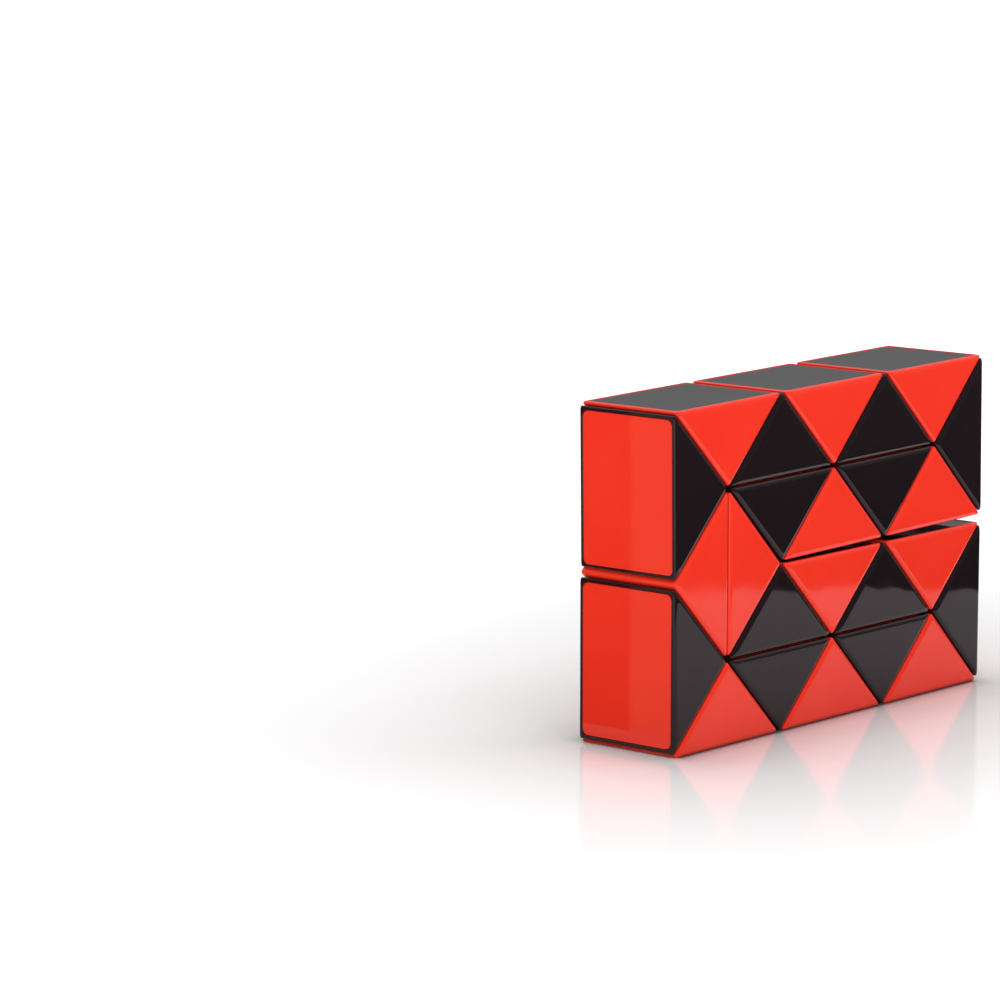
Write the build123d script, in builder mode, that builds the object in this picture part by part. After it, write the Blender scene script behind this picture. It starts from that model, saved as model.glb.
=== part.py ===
from build123d import *
from math import sqrt
import os

# A twisty snake puzzle: a chain of right-angled wedges, folded up into a flat block two rows high.
# Each wedge is a hollow shell, shut by a snap-in panel on its long face.  Black and red wedges
# alternate.  A black wedge has a collar and a screw post on each face that is joined, and a red
# wedge has the recess that the collar turns in.  A screw, a washer and a coil spring inside the
# red wedge hold each pair of faces together.
#
# A wedge's own frame: X along the long face, Y through the thickness, Z towards the square
# corner, origin at the middle of the long face.  A leg face's own frame: origin at its middle,
# Z out of the wedge along the joint's axis, X towards the square corner.
# The block's frame: X along its length, Y through its thickness, Z up, origin at the middle of
# the underside.

# Wedge
leg = 20.0                      # short side of a wedge, and its thickness
long_face = leg * sqrt(2)       # length of the long face
wedge_count = 24
leg_relief = 0.15               # each leg face stands back this far, which leaves a running gap
face_relief = 0.15              # each long face stands back this far
end_relief = 0.35               # the first wedge's free leg face stands back further
wall = 1.5
edge_radius = 0.5

# Panel and its rebate in the long face
panel_length = 25.6
panel_width = 18.3
panel_corner = 1.3
panel_gap = 0.08                # clearance all round the panel
panel_thickness = 0.8
panel_bevel = 35                # degrees, slope of the panel's sides
rebate_depth = panel_thickness  # the panel lies flush with the rim
clip_width = 4.0
clip_thickness = 0.8
clip_length = 2.6
clip_spacing = 10.0
clip_gap = 0.1                  # between a clip and the wall beside it
clip_bump = 0.3                 # radius of the ridge that snaps into the wall
clip_slot = 0.35                # radius of the groove that it snaps into
bump_below = 2.0                # the ridge's distance below the panel

# Joint, measured along its axis from the plane where two wedges meet
collar_radius = 3.0
collar_length = 0.94
collar_clearance = 0.07
recess_depth = 1.0
seat_depth = 2.2                # inner face of the red wedge's boss, where the spring pushes
boss_radius = 4.2
guide_inner = 2.5
guide_outer = 3.1
guide_height = 0.8
post_radius = 2.4
post_depth = 5.8
screw_radius = 1.0
screw_hole = 1.02               # hole in the post
screw_way = 1.2                 # clearance hole through the red wedge's boss
screw_bite = 5.0                # how far the screw goes into the post
screw_tip = 0.4
head_radius = 1.9
head_height = 1.1
head_edge = 0.4
slot_length = 2.2
slot_width = 0.5
slot_depth = 0.6
washer_radius = 2.5
washer_hole = 1.1
washer_thickness = 0.4
head_seat = 5.1                 # underside of the screw's head
spring_wire = 0.2               # radius
spring_radius = 2.05
spring_turns = 3
spring_play = 0.2               # left between the spring and its seat
spring_gap = 0.05               # left between the spring and the washer

# Fold: quarter turns from the straight snake at each joint, in order along the chain
folds = [2, 0, 0, 0, 0, 2, 2, 0, 0, 0, 2, 2, 0, 0, 0, 2, 2, 0, 0, 0, 0, 2, 0]
block_length = 3 * long_face
half_lift = 0.8                 # degrees, how far the upper row gapes open at the right
last_lifted = 11                # wedges up to this one belong to the upper row

tail_face = Plane(origin=(-long_face / 4, 0, long_face / 4), x_dir=(1, 0, 1), z_dir=(-1, 0, 1))
head_face = Plane(origin=(long_face / 4, 0, long_face / 4), x_dir=(-1, 0, 1), z_dir=(1, 0, 1))


def corners(tail_back, head_back, floor):
    """The wedge's triangle in X and Z, with its leg faces set back and cut off at Z = floor."""
    left = -long_face / 2 + floor + tail_back * sqrt(2)
    right = long_face / 2 - floor - head_back * sqrt(2)
    return [(left, floor), (right, floor), ((left + right) / 2, floor + (right - left) / 2)]


def make_shell(posts=(), seats=(), tail_back=leg_relief):
    """A hollow wedge, open at its long face, with a post or a seat on each leg face that is joined."""
    with BuildPart() as shell:
        with BuildSketch(Plane.XZ):
            Polygon(*corners(tail_back, leg_relief, face_relief), align=None)
        extrude(amount=leg / 2, both=True)
        fillet(shell.edges(), edge_radius)

        with BuildSketch(Plane.XZ):
            Polygon(*corners(tail_back + wall, leg_relief + wall, -wall), align=None)
        extrude(amount=leg / 2 - wall, both=True, mode=Mode.SUBTRACT)

        with BuildSketch(Plane.XY.offset(face_relief)):
            RectangleRounded(panel_length, panel_width, panel_corner)
        extrude(amount=rebate_depth, taper=panel_bevel, mode=Mode.SUBTRACT)

        for side in (-1, 1):
            for along in (-clip_spacing / 2, clip_spacing / 2):
                with BuildSketch(Plane.YZ.offset(along)):
                    with Locations((side * (leg / 2 - wall), face_relief + rebate_depth + bump_below)):
                        Circle(clip_slot)
                extrude(amount=clip_width / 2 + clip_gap, both=True, mode=Mode.SUBTRACT)

        for face in posts:
            with BuildSketch(face):
                Circle(post_radius)
            extrude(amount=-post_depth)
            with BuildSketch(face.offset(-leg_relief - wall / 2)):
                Circle(collar_radius)
            extrude(amount=leg_relief + wall / 2 + collar_length)
            with BuildSketch(face.offset(-screw_bite - screw_tip)):
                Circle(screw_hole)
            extrude(amount=screw_bite + screw_tip + collar_length, mode=Mode.SUBTRACT)

        for face in seats:
            with BuildSketch(face.offset(-seat_depth)):
                Circle(boss_radius)
            extrude(amount=seat_depth - leg_relief - wall / 2)
            with BuildSketch(face.offset(-seat_depth - guide_height)):
                Circle(guide_outer)
                Circle(guide_inner, mode=Mode.SUBTRACT)
            extrude(amount=guide_height)
            with BuildSketch(face.offset(-recess_depth)):
                Circle(collar_radius + collar_clearance)
            extrude(amount=recess_depth, mode=Mode.SUBTRACT)
            with BuildSketch(face.offset(-seat_depth)):
                Circle(screw_way)
            extrude(amount=seat_depth, mode=Mode.SUBTRACT)
    return shell.part


def make_panel():
    """The panel that shuts a wedge's long face: a bevelled plate with four clips behind it."""
    shrink = 2 * panel_gap
    plate_back = face_relief + rebate_depth
    clip_middle = leg / 2 - wall - clip_gap - clip_thickness / 2
    with BuildPart() as panel:
        with BuildSketch(Plane.XY.offset(face_relief)):
            RectangleRounded(panel_length - shrink, panel_width - shrink, panel_corner)
        extrude(amount=panel_thickness, taper=panel_bevel)

        for side in (-1, 1):
            for along in (-clip_spacing / 2, clip_spacing / 2):
                with BuildSketch(Plane.XY.offset(plate_back - panel_thickness / 2)):
                    with Locations((along, side * clip_middle)):
                        Rectangle(clip_width, clip_thickness)
                extrude(amount=clip_length + panel_thickness / 2)
                with BuildSketch(Plane.YZ.offset(along)):
                    with Locations((side * (leg / 2 - wall - clip_gap), plate_back + bump_below)):
                        Circle(clip_bump)
                extrude(amount=clip_width / 2, both=True)
    return panel.part


# Fixings, in a black wedge's leg face frame: +Z runs on into the red wedge
with BuildPart() as screw:
    with BuildSketch(Plane.XY.offset(-screw_bite)):
        Circle(screw_radius)
    extrude(amount=screw_bite + head_seat)
    chamfer(screw.faces().sort_by(Axis.Z)[0].edges(), screw_tip)
    with BuildSketch(Plane.XY.offset(head_seat)):
        Circle(head_radius)
    extrude(amount=head_height)
    fillet(screw.faces().sort_by(Axis.Z)[-1].edges(), head_edge)
    with BuildSketch(Plane.XY.offset(head_seat + head_height)):
        Rectangle(slot_length, slot_width)
        Rectangle(slot_width, slot_length)
    extrude(amount=-slot_depth, mode=Mode.SUBTRACT)

with BuildPart() as washer:
    with BuildSketch(Plane.XY.offset(head_seat - washer_thickness)):
        Circle(washer_radius)
        Circle(washer_hole, mode=Mode.SUBTRACT)
    extrude(amount=washer_thickness)

spring_start = seat_depth + spring_play + spring_wire
spring_end = head_seat - washer_thickness - spring_gap - spring_wire
spring_height = spring_end - spring_start
with BuildPart() as spring:
    with BuildLine(Plane.XY.offset(spring_start)) as coil:
        Helix(pitch=spring_height / spring_turns, height=spring_height, radius=spring_radius)
    with BuildSketch(Plane(origin=coil.line @ 0, z_dir=coil.line % 0)):
        Circle(spring_wire)
    sweep(is_frenet=True)


def lay_out_chain():
    """Where each wedge stands in the folded block, found by walking along the chain."""
    first = Plane(
        origin=(-block_length / 2, 0, 1.5 * long_face - face_relief),
        x_dir=(0, 0, 1),
        z_dir=(1, 0, 0),
    )
    stand = [first.location]
    for fold in folds:
        turn = Rot(0, 0, 180 + 90 * fold)
        over = Rot(180, 0, 0)
        stand.append(stand[-1] * head_face.location * turn * over * tail_face.location.inverse())
    hinge = Pos(-block_length / 2 + long_face / 2, 0, 1.5 * long_face - face_relief)
    lift = hinge * Rot(0, -half_lift, 0) * hinge.inverse()
    return [lift * place if n <= last_lifted else place for n, place in enumerate(stand, start=1)]


def joined_faces(n):
    """The leg faces of wedge n that are joined to a neighbour."""
    faces = []
    if n > 1:
        faces.append(tail_face)
    if n < wedge_count:
        faces.append(head_face)
    return faces


def is_black(n):
    return n % 2 == 1


places = lay_out_chain()
first_shell = make_shell(posts=joined_faces(1), tail_back=end_relief)
black_shell = make_shell(posts=[tail_face, head_face])
red_shell = make_shell(seats=[tail_face, head_face])
last_shell = make_shell(seats=joined_faces(wedge_count))
panel = make_panel()

os.makedirs("parts", exist_ok=True)
for n, place in enumerate(places, start=1):
    if n == 1:
        shell = first_shell.moved(place)
    elif n == wedge_count:
        shell = last_shell.moved(place)
    elif is_black(n):
        shell = black_shell.moved(place)
    else:
        shell = red_shell.moved(place)
    shell.label = f"wedge_{n:02d}_shell"
    export_step(shell, f"parts/{shell.label}.step")

    cover = panel.moved(place)
    cover.label = f"wedge_{n:02d}_panel"
    export_step(cover, f"parts/{cover.label}.step")

    if is_black(n):
        pieces = [
            piece.part.moved(place * face.location)
            for face in joined_faces(n)
            for piece in (screw, washer, spring)
        ]
        fixings = Compound(label=f"wedge_{n:02d}_fixings", children=pieces)
        export_step(fixings, f"parts/{fixings.label}.step")
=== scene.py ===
import math
import bmesh
import bpy
from mathutils import Matrix, Vector


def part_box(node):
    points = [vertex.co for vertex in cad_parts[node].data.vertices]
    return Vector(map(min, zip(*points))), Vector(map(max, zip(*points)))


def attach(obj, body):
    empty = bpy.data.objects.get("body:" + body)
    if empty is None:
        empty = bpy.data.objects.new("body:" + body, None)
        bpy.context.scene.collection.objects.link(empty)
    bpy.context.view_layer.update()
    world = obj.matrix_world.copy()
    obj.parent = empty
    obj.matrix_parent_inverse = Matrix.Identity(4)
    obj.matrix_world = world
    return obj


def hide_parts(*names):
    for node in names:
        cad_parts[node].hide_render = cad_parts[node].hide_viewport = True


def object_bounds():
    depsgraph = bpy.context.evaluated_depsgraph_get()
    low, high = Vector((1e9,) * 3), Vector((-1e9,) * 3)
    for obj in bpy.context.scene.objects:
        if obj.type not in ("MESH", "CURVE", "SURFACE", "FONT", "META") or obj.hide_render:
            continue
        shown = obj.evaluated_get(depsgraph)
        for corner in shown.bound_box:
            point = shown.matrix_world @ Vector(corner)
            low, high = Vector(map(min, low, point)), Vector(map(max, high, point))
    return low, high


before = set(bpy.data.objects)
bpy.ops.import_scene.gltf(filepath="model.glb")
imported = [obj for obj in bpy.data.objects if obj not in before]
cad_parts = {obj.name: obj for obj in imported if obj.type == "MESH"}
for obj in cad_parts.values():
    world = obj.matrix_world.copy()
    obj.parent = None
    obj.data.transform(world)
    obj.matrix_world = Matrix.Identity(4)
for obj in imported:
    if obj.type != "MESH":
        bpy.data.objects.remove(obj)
cadLow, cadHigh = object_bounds()

mm = 0.001
root2 = math.sqrt(2)
same = 0.001 * mm               # points closer than this are one point
inPlane = 0.02 * mm             # a face this near to a plane lies in it
parallel = 0.999                # least cosine between the normals of parallel faces
sharpAngle = math.radians(32)   # faces that meet at a smaller angle shade into each other

# The chain: right-angled wedges, black and red in turn, folded into a flat block two rows high.
# A wedge's own frame: X along its long face, Y through the thickness, Z towards the square corner.
# A short face's own frame: origin at its middle, Z out of the wedge, X towards the square corner.
chain = {
    "count": 24,
    "leg": cadHigh.y - cadLow.y,  # short side of a wedge, which is also its thickness
    "legRelief": 0.15 * mm,       # each short face stands back this far
    "faceRelief": 0.15 * mm,      # and each long face
    "endRelief": 0.35 * mm,       # the first wedge's free short face
    "folds": [2, 0, 0, 0, 0, 2, 2, 0, 0, 0, 2, 2, 0, 0, 0, 2, 2, 0, 0, 0, 0, 2, 0],  # quarter turns
    "gape": math.radians(0.8),    # the upper row opens this far at the right
    "lastLifted": 11,             # last wedge of the upper row
}
leg = chain["leg"]
longFace = leg * root2


def axesAt(origin, xAxis, zAxis):
    x = Vector(xAxis).normalized()
    z = Vector(zAxis).normalized()
    matrix = Matrix((x, z.cross(x), z)).transposed().to_4x4()
    matrix.translation = origin
    return matrix


tailFace = axesAt((-longFace / 4, 0, longFace / 4), (1, 0, 1), (-1, 0, 1))
headFace = axesAt((longFace / 4, 0, longFace / 4), (-1, 0, 1), (1, 0, 1))


def layOutChain():
    top = 1.5 * longFace - chain["faceRelief"]
    places = [axesAt((-1.5 * longFace, 0, top), (0, 0, 1), (1, 0, 0))]
    for fold in chain["folds"]:
        turn = Matrix.Rotation(math.radians(180 + 90 * fold), 4, "Z")
        over = Matrix.Rotation(math.pi, 4, "X")
        places.append(places[-1] @ headFace @ turn @ over @ tailFace.inverted())
    hinge = Matrix.Translation((-longFace, 0, top))
    lift = hinge @ Matrix.Rotation(-chain["gape"], 4, "Y") @ hinge.inverted()
    for n in range(chain["lastLifted"]):
        places[n] = lift @ places[n]
    return places


def polygonLoop(bm, corners, cuts, steps):
    # a flat polygon with rounded corners; a cut is how much of each side a corner's rounding takes
    others = set(bm.faces)
    verts = [bm.verts.new(co) for co in corners]
    bm.faces.new(verts)
    for vert, cut in zip(verts, cuts):
        bmesh.ops.bevel(bm, geom=[vert], affect="VERTICES", offset=cut, segments=steps, profile=0.5,
                        material=-1, clamp_overlap=False)
    return next(face for face in bm.faces if face not in others)


def joinLoops(bm, loops):
    # the skin over a row of flat loops, with only the first and last of them left as faces
    for near, far in zip(loops, loops[1:]):
        bmesh.ops.bridge_loops(bm, edges=list(near.edges) + list(far.edges))
    bmesh.ops.delete(bm, geom=loops[1:-1], context="FACES_ONLY")


def openFace(bm, face):
    # takes a face away and gives back the edges round it
    edges = list(face.edges)
    bmesh.ops.delete(bm, geom=[face], context="FACES_ONLY")
    return edges


def fillBetween(bm, edges, normal):
    bmesh.ops.triangle_fill(bm, edges=edges, use_beauty=True, use_dissolve=False, normal=normal)


def faceAt(bm, centre, normal):
    # the widest face in the plane through centre, whichever way it looks
    flat = [f for f in bm.faces if abs(f.normal.dot(normal)) > parallel]
    flat = [f for f in flat if abs((f.calc_center_median() - centre).dot(normal)) < inPlane]
    return max(flat, key=lambda f: f.calc_area())


def finishMesh(bm, name):
    bmesh.ops.remove_doubles(bm, verts=bm.verts, dist=same)
    bmesh.ops.recalc_face_normals(bm, faces=bm.faces)
    for face in bm.faces:
        face.smooth = True
    for edge in bm.edges:
        edge.smooth = edge.calc_face_angle(math.pi) < sharpAngle
    openEdges = sum(not edge.is_manifold for edge in bm.edges)
    mesh = bpy.data.meshes.new(name)
    bm.to_mesh(mesh)
    bm.free()
    print("mesh", name, len(mesh.polygons), "faces,", openEdges, "open edges")
    return mesh


# A wedge's hollow shell, open at its long face
shell = {
    "edgeRound": 0.85 * mm,       # width of the front and back edges' rounding, seen from the front
    "edgeDepth": 0.50 * mm,       # and seen from the side
    "edgeSteps": 6,
    "tipCut": 0.95 * mm,          # how much of each side the rounding of a 45 degree corner takes
    "squareCut": 0.42 * mm,       # and of the square corner
    "cornerSteps": 6,
    "rebateHalfLength": 12.78 * mm,
    "rebateHalfWidth": 9.36 * mm,
    "rebateCorner": 1.15 * mm,
    "rebateDepth": 0.8 * mm,
    "rebateTaper": 0.56 * mm,     # how far the rebate's sides lean in
    "wall": 1.5 * mm,
    "cavityCorner": 0.8 * mm,
    "ridgeHalfWidth": 0.6 * mm,   # the cavity's flat top
    "grooveBelow": 1.4 * mm,      # the clips' groove, from the rebate's floor
    "grooveHalfHeight": 0.35 * mm,
    "grooveDepth": 0.32 * mm,
}


def triangleCorners(tailBack, inset, y):
    floor = chain["faceRelief"] + inset
    left = -longFace / 2 + floor + (tailBack + inset) * root2
    right = longFace / 2 - floor - (chain["legRelief"] + inset) * root2
    return [(left, y, floor), (right, y, floor), ((left + right) / 2, y, floor + (right - left) / 2)]


def shellBlock(bm, tailBack):
    cuts = [shell["tipCut"], shell["tipCut"], shell["squareCut"]]
    radius = shell["edgeRound"]
    depth = shell["edgeDepth"]
    steps = range(shell["edgeSteps"] + 1)
    loops = []
    for side, order in ((-1, reversed(steps)), (1, steps)):
        for step in order:
            angle = math.pi / 2 * step / shell["edgeSteps"]
            inset = radius * (1 - math.cos(angle))
            y = side * (leg / 2 - depth + depth * math.sin(angle))
            loops.append(polygonLoop(bm, triangleCorners(tailBack, inset, y), cuts, shell["cornerSteps"]))
    joinLoops(bm, loops)


def roundedRectangle(bm, halfLength, halfWidth, corner, z):
    signs = ((-1, -1), (1, -1), (1, 1), (-1, 1))
    corners = [(sx * halfLength, sy * halfWidth, z) for sx, sy in signs]
    return polygonLoop(bm, corners, [corner] * 4, shell["cornerSteps"])


def shellCavity(bm):
    floor = chain["faceRelief"]
    back = floor + shell["rebateDepth"]
    groove = back + shell["grooveBelow"]
    halfWidth = leg / 2 - shell["wall"]
    # the cavity's half-length at any height is reach less that height
    reach = longFace / 2 - (chain["legRelief"] + shell["wall"]) * root2
    corner = shell["cavityCorner"]
    long = shell["rebateHalfLength"]
    wide = shell["rebateHalfWidth"]
    lean = shell["rebateTaper"]
    deep = shell["grooveDepth"]
    half = shell["grooveHalfHeight"]
    ridge = shell["ridgeHalfWidth"]
    levels = [
        (long, wide, shell["rebateCorner"], floor),
        (long - lean, wide - lean, shell["rebateCorner"] - lean / 2, back),
        (reach - back, halfWidth, corner, back),
        (reach - groove + half, halfWidth, corner, groove - half),
        (reach - groove, halfWidth + deep, corner, groove),
        (reach - groove - half, halfWidth, corner, groove + half),
        (ridge, halfWidth, ridge / 2, reach - ridge),
    ]
    longFaceEdges = openFace(bm, faceAt(bm, Vector((0, 0, floor)), Vector((0, 0, 1))))
    loops = [roundedRectangle(bm, *level) for level in levels]
    joinLoops(bm, loops)
    fillBetween(bm, longFaceEdges + openFace(bm, loops[0]), (0, 0, -1))


# The joints: heights are measured outwards from the plane where two wedges meet
joint = {
    "collarRadius": 3.0 * mm,
    "collarHeight": 0.94 * mm,
    "chamfer": 0.1 * mm,          # on the rims of the collar and the post
    "screwHole": 1.02 * mm,       # radius, in the post
    "postRadius": 2.4 * mm,
    "postDepth": 5.8 * mm,
    "recessRadius": 3.07 * mm,
    "recessDepth": 1.0 * mm,
    "screwWay": 1.2 * mm,         # radius, through the boss
    "bossRadius": 4.2 * mm,
    "bossDepth": 2.2 * mm,
    "guideInner": 2.5 * mm,       # the ring that holds the spring in place
    "guideOuter": 3.1 * mm,
    "guideHeight": 0.8 * mm,
    "steps": 48,
}
outerSkin = -chain["legRelief"]
innerSkin = outerSkin - shell["wall"]


def collarProfile():
    # radius and height of each corner of a black wedge's collar and post, from outside to inside
    collar, top, chamfer = joint["collarRadius"], joint["collarHeight"], joint["chamfer"]
    hole, post, end = joint["screwHole"], joint["postRadius"], -joint["postDepth"]
    return [
        (collar, outerSkin),
        (collar, top - chamfer),
        (collar - chamfer, top),
        (hole, top),
        (hole, end),
        (post - chamfer, end),
        (post, end + chamfer),
        (post, innerSkin),
    ]


def recessProfile():
    # and of a red wedge's recess and boss
    recess, way, boss = joint["recessRadius"], joint["screwWay"], joint["bossRadius"]
    seat, end = -joint["recessDepth"], -joint["bossDepth"]
    ring = end - joint["guideHeight"]
    return [
        (recess, outerSkin),
        (recess, seat),
        (way, seat),
        (way, end),
        (joint["guideInner"], end),
        (joint["guideInner"], ring),
        (joint["guideOuter"], ring),
        (joint["guideOuter"], end),
        (boss, end),
        (boss, innerSkin),
    ]


def addJoint(bm, face, profile):
    # the bore through one short face, spun from its profile
    normal = face.to_3x3() @ Vector((0, 0, 1))
    outerEdges = openFace(bm, faceAt(bm, face @ Vector((0, 0, outerSkin)), normal))
    innerEdges = openFace(bm, faceAt(bm, face @ Vector((0, 0, innerSkin)), normal))
    verts = [bm.verts.new(face @ Vector((radius, 0, height))) for radius, height in profile]
    edges = [bm.edges.new(pair) for pair in zip(verts, verts[1:])]
    before = set(bm.faces)
    bmesh.ops.spin(bm, geom=verts + edges, cent=face.translation, axis=normal, dvec=(0, 0, 0),
                   angle=2 * math.pi, steps=joint["steps"], use_merge=True)
    rim = [e for e in bm.edges if e.is_boundary and e.link_faces[0] not in before]

    def rimAt(height):
        return [e for e in rim if abs((e.verts[0].co - face.translation).dot(normal) - height) < same]

    fillBetween(bm, outerEdges + rimAt(outerSkin), normal)
    fillBetween(bm, innerEdges + rimAt(innerSkin), normal)


def makeShell(name, profile, faces, tailBack):
    bm = bmesh.new()
    shellBlock(bm, tailBack)
    shellCavity(bm)
    for face in faces:
        addJoint(bm, face, profile)
    return finishMesh(bm, name)


# The snap-in panel that shuts a long face
panel = {
    "sunk": 0.08 * mm,            # lies this far below the rim
    "gap": 0.14 * mm,             # clearance in the rebate
    "edgeRound": 0.12 * mm,
    "edgeSteps": 3,
    "clipHalfWidth": 2.0 * mm,
    "clipMiddle": 5.0 * mm,       # along the panel, from its middle
    "clipInner": 7.6 * mm,
    "clipOuter": 8.4 * mm,
    "clipLength": 2.3 * mm,
    "ridge": 0.28 * mm,           # how far a clip's snap ridge stands out
}


def makePanel(name):
    bm = bmesh.new()
    floor = chain["faceRelief"] + panel["sunk"]
    back = chain["faceRelief"] + shell["rebateDepth"]
    long = shell["rebateHalfLength"] - panel["gap"]
    wide = shell["rebateHalfWidth"] - panel["gap"]
    corner = shell["rebateCorner"]
    radius = panel["edgeRound"]
    levels = []
    for step in range(panel["edgeSteps"] + 1):
        angle = math.pi / 2 * step / panel["edgeSteps"]
        shrink = radius * (1 - math.sin(angle))
        levels.append((long - shrink, wide - shrink, corner, floor + radius * (1 - math.cos(angle))))
    lean = shell["rebateTaper"]
    levels.append((long - lean, wide - lean, corner - lean / 2, back))
    loops = [roundedRectangle(bm, *level) for level in levels]
    joinLoops(bm, loops)
    addClips(bm, loops[-1], back)
    return finishMesh(bm, name)


def cutAcross(bm, geometry, point, normal):
    cut = bmesh.ops.bisect_plane(bm, geom=geometry, dist=same, plane_co=point, plane_no=normal)
    return cut["geom"]


def addClips(bm, backFace, back):
    # four feet are cut out of the plate's back and drawn up, then bent out along a snap ridge
    half = panel["clipHalfWidth"]
    geometry = [backFace] + list(backFace.edges) + list(backFace.verts)
    for side in (-1, 1):
        for x in (panel["clipMiddle"] - half, panel["clipMiddle"] + half):
            geometry = cutAcross(bm, geometry, (side * x, 0, back), (1, 0, 0))
        for y in (panel["clipInner"], panel["clipOuter"]):
            geometry = cutAcross(bm, geometry, (0, side * y, back), (0, 1, 0))

    def isFoot(face):
        centre = face.calc_center_median()
        along = abs(abs(centre.x) - panel["clipMiddle"]) < half
        across = panel["clipInner"] < abs(centre.y) < panel["clipOuter"]
        return along and across and abs(centre.z - back) < same

    feet = [f for f in bm.faces if isFoot(f)]
    raised = bmesh.ops.extrude_discrete_faces(bm, faces=feet)["faces"]
    verts = [v for f in raised for v in f.verts]
    bmesh.ops.translate(bm, verts=verts, vec=(0, 0, panel["clipLength"]))

    ridge = back + shell["grooveBelow"]
    for z in (ridge - panel["ridge"], ridge, ridge + panel["ridge"]):
        clips = [f for f in bm.faces if max(v.co.z for v in f.verts) > back + same]
        edges = [e for e in bm.edges if any(f in clips for f in e.link_faces)]
        corners = [v for v in bm.verts if any(f in clips for f in v.link_faces)]
        cutAcross(bm, clips + edges + corners, (0, 0, z), (0, 0, 1))
    for vert in bm.verts:
        if abs(vert.co.z - ridge) < same and abs(vert.co.y) > panel["clipOuter"] - same:
            vert.co.y += math.copysign(panel["ridge"], vert.co.y)


# The two plastics, and the marks that moulding and handling leave in both
plastics = {
    "red": {
        "colour": (0.84, 0.036, 0.017, 1),
        "streak": (0.80, 0.030, 0.014, 1),     # where the melt ran together
        "roughness": (0.05, 0.09),
        "ior": 1.42,
        "sheen": (1, 0.85, 0.80, 1),           # tint of its reflections
    },
    "black": {
        "colour": (0.0090, 0.0052, 0.0063, 1),
        "streak": (0.0108, 0.0065, 0.0077, 1),
        "roughness": (0.03, 0.06),
        "ior": 1.38,
        "sheen": (1, 0.80, 0.87, 1),
    },
}
surface = {
    "flow": (45, 3),              # scale per metre and detail: broad drifts of colour
    "sink": (90, 1),              # broad shallow dents from shrinkage
    "sinkDepth": 0.08 * mm,
    "peel": (900, 2),             # fine orange peel
    "peelDepth": 0.0004 * mm,
    "haze": (260, 4),             # patches of finer and coarser gloss
    "noiseSpan": (0.3, 0.7),      # the part of a noise's range that is used
    "scratch": (1, 1),
    "scratchStretch": (2600, 2600, 70),
    "scratchTurn": (0.6, 0.3, 0.2),
    "scratchSpan": (0.66, 0.74),  # only the noise's peaks are scratches
    "scratchRough": 0.05,
}


def addNode(tree, kind, place, **inputs):
    node = tree.nodes.new("ShaderNode" + kind)
    node.location = place
    for name, value in inputs.items():
        node.inputs[name].default_value = value
    return node


def addMaths(tree, kind, operation, place, first, second=None):
    # an output is linked in, a number or a vector is set
    node = addNode(tree, kind, place)
    node.operation = operation
    tree.links.new(first, node.inputs[0])
    if isinstance(second, bpy.types.NodeSocket):
        tree.links.new(second, node.inputs[1])
    elif second is not None:
        node.inputs[1].default_value = second
    return node


def addNoise(tree, coords, place, scale, detail):
    noise = addNode(tree, "TexNoise", place, Scale=scale, Detail=detail, Roughness=0.5)
    tree.links.new(coords, noise.inputs["Vector"])
    return noise.outputs["Fac"]


def mapRange(tree, value, place, source, target):
    # carries the source range over to the target range, and stops at its ends
    ranges = {"From Min": source[0], "From Max": source[1], "To Min": target[0], "To Max": target[1]}
    node = addNode(tree, "MapRange", place, **ranges)
    tree.links.new(value, node.inputs["Value"])
    return node.outputs["Result"]


def newMaterial(name):
    material = bpy.data.materials.new(name)
    material.use_nodes = True
    return material, material.node_tree, material.node_tree.nodes["Principled BSDF"]


def mouldedPlastic(name, look):
    material, tree, shader = newMaterial(name)
    shader.inputs["IOR"].default_value = look["ior"]
    shader.inputs["Specular Tint"].default_value = look["sheen"]
    coords = addNode(tree, "TexCoord", (-1400, 0)).outputs["Object"]
    span = surface["noiseSpan"]

    drift = addNoise(tree, coords, (-1100, 300), *surface["flow"])
    mix = addNode(tree, "MixRGB", (-550, 300), Color1=look["colour"], Color2=look["streak"])
    tree.links.new(mapRange(tree, drift, (-850, 300), span, (0, 1)), mix.inputs["Fac"])
    tree.links.new(mix.outputs["Color"], shader.inputs["Base Color"])

    patches = addNoise(tree, coords, (-1100, 0), *surface["haze"])
    haze = mapRange(tree, patches, (-850, 0), span, look["roughness"])
    stretch = addNode(tree, "Mapping", (-1200, -250), Scale=surface["scratchStretch"],
                      Rotation=surface["scratchTurn"])
    tree.links.new(coords, stretch.inputs["Vector"])
    peaks = addNoise(tree, stretch.outputs["Vector"], (-950, -250), *surface["scratch"])
    hairs = mapRange(tree, peaks, (-700, -250), surface["scratchSpan"], (0, surface["scratchRough"]))
    rough = addMaths(tree, "Math", "ADD", (-450, -100), haze, hairs)
    tree.links.new(rough.outputs["Value"], shader.inputs["Roughness"])

    sink = addNode(tree, "Bump", (-450, -450), Distance=surface["sinkDepth"])
    tree.links.new(addNoise(tree, coords, (-1100, -500), *surface["sink"]), sink.inputs["Height"])
    peel = addNode(tree, "Bump", (-200, -450), Distance=surface["peelDepth"])
    tree.links.new(addNoise(tree, coords, (-1100, -750), *surface["peel"]), peel.inputs["Height"])
    tree.links.new(sink.outputs["Normal"], peel.inputs["Normal"])
    tree.links.new(peel.outputs["Normal"], shader.inputs["Normal"])
    return material


steel = {
    "light": (0.62, 0.62, 0.64, 1),
    "dark": (0.45, 0.45, 0.48, 1),
    "grain": (1500, 4),
    "roughness": (0.25, 0.4),
}


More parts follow.
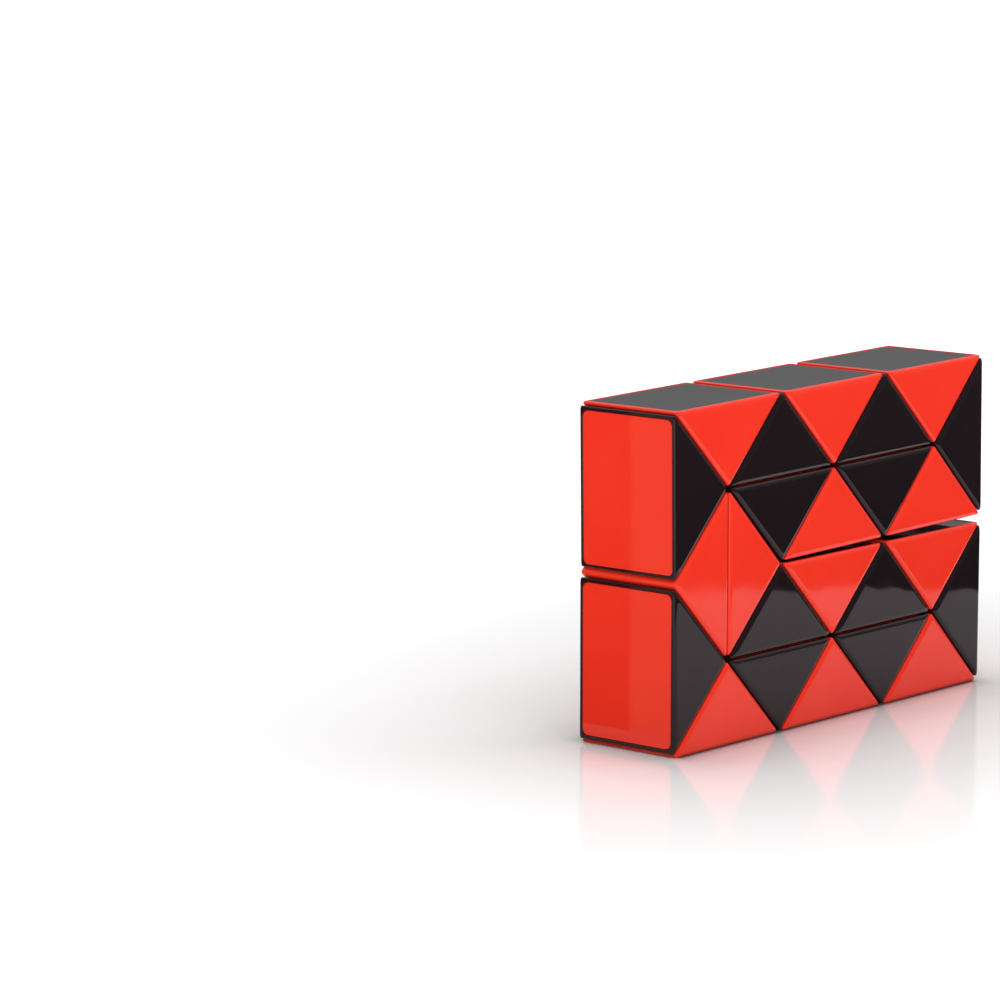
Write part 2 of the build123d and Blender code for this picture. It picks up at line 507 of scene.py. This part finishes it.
def platedSteel(name):
    material, tree, shader = newMaterial(name)
    shader.inputs["Metallic"].default_value = 1
    coords = addNode(tree, "TexCoord", (-1100, 0)).outputs["Object"]
    grain = addNoise(tree, coords, (-850, 0), *steel["grain"])
    mix = addNode(tree, "MixRGB", (-350, 150), Color1=steel["light"], Color2=steel["dark"])
    span = surface["noiseSpan"]
    tree.links.new(mapRange(tree, grain, (-600, 150), span, (0, 1)), mix.inputs["Fac"])
    tree.links.new(mix.outputs["Color"], shader.inputs["Base Color"])
    tree.links.new(mapRange(tree, grain, (-600, -150), span, steel["roughness"]), shader.inputs["Roughness"])
    return material


materials = {
    "red_shell": mouldedPlastic("redShellPlastic", plastics["red"]),
    "black_shell": mouldedPlastic("blackShellPlastic", plastics["black"]),
    "red_panel": mouldedPlastic("redPanelPlastic", plastics["red"]),
    "black_panel": mouldedPlastic("blackPanelPlastic", plastics["black"]),
    "steel": platedSteel("platedSteel"),
}
print("materials made:", len(materials))


def placePiece(name, mesh, place, body, slot, node):
    mesh = mesh.copy()
    mesh.name = name
    mesh.transform(place)
    mesh.materials.append(materials[slot])
    piece = bpy.data.objects.new(name, mesh)
    bpy.context.scene.collection.objects.link(piece)
    piece.modifiers.new("evenNormals", "WEIGHTED_NORMAL").keep_sharp = True
    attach(piece, body)
    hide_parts(node)
    return piece


# Odd wedges are black, with collars and red panels; even ones are red, with recesses and black panels
relief = chain["legRelief"]
shells = {
    "first": makeShell("firstShell", collarProfile(), [headFace], chain["endRelief"]),
    "black": makeShell("blackShell", collarProfile(), [tailFace, headFace], relief),
    "red": makeShell("redShell", recessProfile(), [tailFace, headFace], relief),
    "last": makeShell("lastShell", recessProfile(), [tailFace], relief),
}
panelMesh = makePanel("panelPlate")

worst = 0
for n, place in enumerate(layOutChain(), start=1):
    body = f"wedge_{n:02d}"
    isBlack = n % 2 == 1
    kind = {1: "first", chain["count"]: "last"}.get(n, "black" if isBlack else "red")
    shellSlot, panelSlot = ("black_shell", "red_panel") if isBlack else ("red_shell", "black_panel")
    made = placePiece(f"shell{n:02d}", shells[kind], place, body, shellSlot, f"{body}_shell")
    placePiece(f"panel{n:02d}", panelMesh, place, body, panelSlot, f"{body}_panel")
    low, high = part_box(f"{body}_shell")
    middle = sum((Vector(corner) for corner in made.bound_box), Vector()) / 8
    worst = max(worst, (middle - (low + high) / 2).length)
print("wedges placed; a shell's middle is at most", round(worst / mm, 3), "mm from its CAD node's")

for name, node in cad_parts.items():
    if name.endswith("_fixings"):
        node.data.materials.clear()
        node.data.materials.append(materials["steel"])
print("screws, washers and springs keep their CAD shapes, in steel")


def addRamp(tree, value, place, levels):
    # straight between its (value, result) pairs: one map range for each stretch, added up
    total = None
    for (x0, y0), (x1, y1) in zip(levels, levels[1:]):
        if total is None:
            total = mapRange(tree, value, place, (x0, x1), (y0, y1))
        else:
            part = mapRange(tree, value, place, (x0, x1), (0, y1 - y0))
            beside = (place[0] + 200, place[1])
            total = addMaths(tree, "Math", "ADD", beside, total, part).outputs["Value"]
    return total


def placeStage(bm, name, material):
    # a piece of the stage, with the ground under the object as its zero height
    mesh = bpy.data.meshes.new(name)
    bm.to_mesh(mesh)
    bm.free()
    mesh.materials.append(material)
    piece = bpy.data.objects.new(name, mesh)
    piece.location.z = cadLow.z
    bpy.context.scene.collection.objects.link(piece)
    return piece


# The floor: white acrylic, with a painted shadow round the object: its base colour darkens and its painted
# glow fades towards the object; given as (distance from the object, value) pairs
floorLook = {
    "size": 60,
    "paintedShadow": [(0, 0.15), (0.001, 0.60), (0.004, 0.73), (0.012, 0.82), (0.10, 0.93)],
    "shine": [(0, 0.75), (0.03, 0.5), (0.09, 0.12), (0.2, 0)],
    "glow": [(0, 0), (0.004, 0.07), (0.02, 0.16), (0.05, 0.23), (0.10, 0.28), (0.30, 0.5)],
    "roughness": 0.11,
    "trim": 2 * mm,               # the painted shadow stops this far short of each end of the object
}


def footprintDistance(tree, coords):
    # how far a point of the floor is from the upright box that holds the object
    halfSize = (cadHigh - cadLow) / 2
    reach = (halfSize.x - floorLook["trim"], halfSize.y, 0)
    apart = addMaths(tree, "VectorMath", "ABSOLUTE", (-1000, 0), coords)
    past = addMaths(tree, "VectorMath", "SUBTRACT", (-840, 0), apart.outputs["Vector"], reach)
    outside = addMaths(tree, "VectorMath", "MAXIMUM", (-680, 0), past.outputs["Vector"], (0, 0, 0))
    return addMaths(tree, "VectorMath", "LENGTH", (-520, 0), outside.outputs["Vector"]).outputs["Value"]


def makeFloor():
    material, tree, shader = newMaterial("whiteAcrylicWithPaintedShadow")
    coords = addNode(tree, "TexCoord", (-1200, 0)).outputs["Object"]
    distance = footprintDistance(tree, coords)
    # painted shadow in the base colour and painted light in the emission, both set by the distance from the
    # object
    ramps = {"Base Color": "paintedShadow", "Specular IOR Level": "shine", "Emission Strength": "glow"}
    for count, (socket, levels) in enumerate(ramps.items()):
        ramp = addRamp(tree, distance, (-400, 200 - 300 * count), floorLook[levels])
        tree.links.new(ramp, shader.inputs[socket])
    shader.inputs["Emission Color"].default_value = (1, 1, 1, 1)
    shader.inputs["Roughness"].default_value = floorLook["roughness"]
    bm = bmesh.new()
    bmesh.ops.create_grid(bm, x_segments=1, y_segments=1, size=floorLook["size"] / 2)
    placeStage(bm, "floor", material)


def glowingCard(name):
    # the painted reflections' material: glows on its front alone; from behind, all that lies past it shows
    # through
    material, tree, shader = newMaterial(name)
    tree.nodes.remove(shader)
    glow = addNode(tree, "Emission", (0, 0), Strength=1)
    clear = addNode(tree, "BsdfTransparent", (0, -200))
    sides = addNode(tree, "MixShader", (250, 0))
    tree.links.new(addNode(tree, "NewGeometry", (0, 200)).outputs["Backfacing"], sides.inputs["Fac"])
    tree.links.new(glow.outputs["Emission"], sides.inputs[1])
    tree.links.new(clear.outputs["BSDF"], sides.inputs[2])
    tree.links.new(sides.outputs["Shader"], tree.nodes["Material Output"].inputs["Surface"])
    return material, tree, glow


def showInGlossOnly(card):
    for ray in ("camera", "diffuse", "shadow", "transmission", "volume_scatter"):
        setattr(card, "visible_" + ray, False)


# A painted dark reflection: a dark glowing card, seen only in gloss, lies round the object as a sector of a
# ring
paintedDarkReflection = {
    "inner": 0.125,
    "outer": 3.0,
    "steps": 96,                  # to the full ring
    "facing": math.radians(-42),  # the middle of its sector
    "spread": math.radians(75),   # to each side
    "dark": 0.03,                 # glow at its inner edge
    "light": 0.5,                 # and at its outer one
    "lift": 0.2 * mm,             # above the floor
}


def inSector(point):
    off = math.atan2(point.y, point.x) - paintedDarkReflection["facing"]
    return abs(math.atan2(math.sin(off), math.cos(off))) < paintedDarkReflection["spread"]


def makePaintedDarkReflection():
    inner, outer = paintedDarkReflection["inner"], paintedDarkReflection["outer"]
    material, tree, glow = glowingCard("paintedDarkReflection")
    coords = addNode(tree, "TexCoord", (-900, 0)).outputs["Object"]
    distance = addMaths(tree, "VectorMath", "LENGTH", (-700, 0), coords).outputs["Value"]
    strength = mapRange(tree, distance, (-400, 0), (inner, outer), (paintedDarkReflection["dark"], paintedDarkReflection["light"]))
    tree.links.new(strength, glow.inputs["Strength"])

    bm = bmesh.new()
    bmesh.ops.create_circle(bm, cap_ends=False, segments=paintedDarkReflection["steps"], radius=inner)
    spread = bmesh.ops.extrude_edge_only(bm, edges=bm.edges)["geom"]
    rim = [v for v in spread if isinstance(v, bmesh.types.BMVert)]
    bmesh.ops.scale(bm, verts=rim, vec=(outer / inner, outer / inner, 1))
    others = [f for f in bm.faces if not inSector(f.calc_center_median())]
    bmesh.ops.delete(bm, geom=others, context="FACES")
    bm.normal_update()
    bmesh.ops.reverse_faces(bm, faces=[f for f in bm.faces if f.normal.z < 0])
    card = placeStage(bm, "paintedDarkReflection", material)
    card.location.z += paintedDarkReflection["lift"]
    showInGlossOnly(card)


# A painted reflection: a dim upright neighbour at the left, of two tones, glows and is seen only in gloss
# too
paintedSideReflection = {
    "x": -0.052,
    "y": (-0.010, 0.024),
    "z": (0.0005, 0.0585),
    "near": (0.90, 0.55, 0.38, 1),
    "far": (0.30, 0.02, 0.0, 1),
    "split": (0.0068, 0.0078),    # the one turns into the other between these
}


def makePaintedSideReflection():
    material, tree, glow = glowingCard("paintedSideReflection")
    parts = addNode(tree, "SeparateXYZ", (-700, 0))
    tree.links.new(addNode(tree, "TexCoord", (-900, 0)).outputs["Object"], parts.inputs["Vector"])
    tones = addNode(tree, "MixRGB", (-250, 0), Color1=paintedSideReflection["near"], Color2=paintedSideReflection["far"])
    change = mapRange(tree, parts.outputs["Y"], (-500, 0), paintedSideReflection["split"], (0, 1))
    tree.links.new(change, tones.inputs["Fac"])
    tree.links.new(tones.outputs["Color"], glow.inputs["Color"])

    (y0, y1), (z0, z1) = paintedSideReflection["y"], paintedSideReflection["z"]
    bm = bmesh.new()
    bm.faces.new([bm.verts.new((paintedSideReflection["x"], y, z)) for y, z in ((y0, z0), (y1, z0), (y1, z1), (y0, z1))])
    showInGlossOnly(placeStage(bm, "paintedSideReflection", material))


# A soft dome: dim at the horizon, dimmer still towards the front left, bright overhead
dome = {
    "height": [(0.0, 0.10), (0.3, 0.45), (1.0, 1.7)],
    "front": (-0.74, -0.67, 0),
    "dim": [(-0.2, 1.0), (0.5, 0.2)],
}


def makeDome():
    world = bpy.data.worlds.new("softDome")
    bpy.context.scene.world = world
    world.use_nodes = True
    tree = world.node_tree
    background = tree.nodes["Background"]
    background.inputs["Color"].default_value = (1, 1, 1, 1)
    coords = addNode(tree, "TexCoord", (-1200, 0)).outputs["Generated"]
    parts = addNode(tree, "SeparateXYZ", (-1000, 200))
    tree.links.new(coords, parts.inputs["Vector"])
    towards = addMaths(tree, "VectorMath", "DOT_PRODUCT", (-1000, -100), coords, dome["front"])
    height = addRamp(tree, parts.outputs["Z"], (-700, 200), dome["height"])
    front = addRamp(tree, towards.outputs["Value"], (-700, -200), dome["dim"])
    strength = addMaths(tree, "Math", "MULTIPLY", (-250, 0), height, front)
    tree.links.new(strength.outputs["Value"], background.inputs["Strength"])


keyLight = {"place": (-1.0, -1.25, 0.95), "size": 2.4, "power": 34}


def makeKeyLight():
    light = bpy.data.lights.new("keyLight", "AREA")
    light.shape = "SQUARE"
    light.size = keyLight["size"]
    light.energy = keyLight["power"]
    key = bpy.data.objects.new("keyLight", light)
    key.location = keyLight["place"]
    aim = Vector((0, 0, (cadLow.z + cadHigh.z) / 2)) - key.location
    key.rotation_euler = aim.to_track_quat("-Z", "Y").to_euler()
    key.visible_glossy = False
    bpy.context.scene.collection.objects.link(key)


makeFloor()
makePaintedDarkReflection()
makePaintedSideReflection()
makeDome()
makeKeyLight()
print("floor, cards and lights ready")

view = {
    "place": (-0.5654, -0.4315, 0.1509),
    "turn": math.radians(-48.77),  # from looking along +Y
    "tilt": math.radians(-9.21),
    "lens": 154.6,
}
cameraData = bpy.data.cameras.new("camera")
cameraData.lens = view["lens"]
camera = bpy.data.objects.new("camera", cameraData)
camera.location = view["place"]
camera.rotation_euler = (math.pi / 2 + view["tilt"], 0, view["turn"])
bpy.context.scene.collection.objects.link(camera)
bpy.context.scene.camera = camera
bpy.context.scene.view_settings.view_transform = "Standard"
print("camera ready")
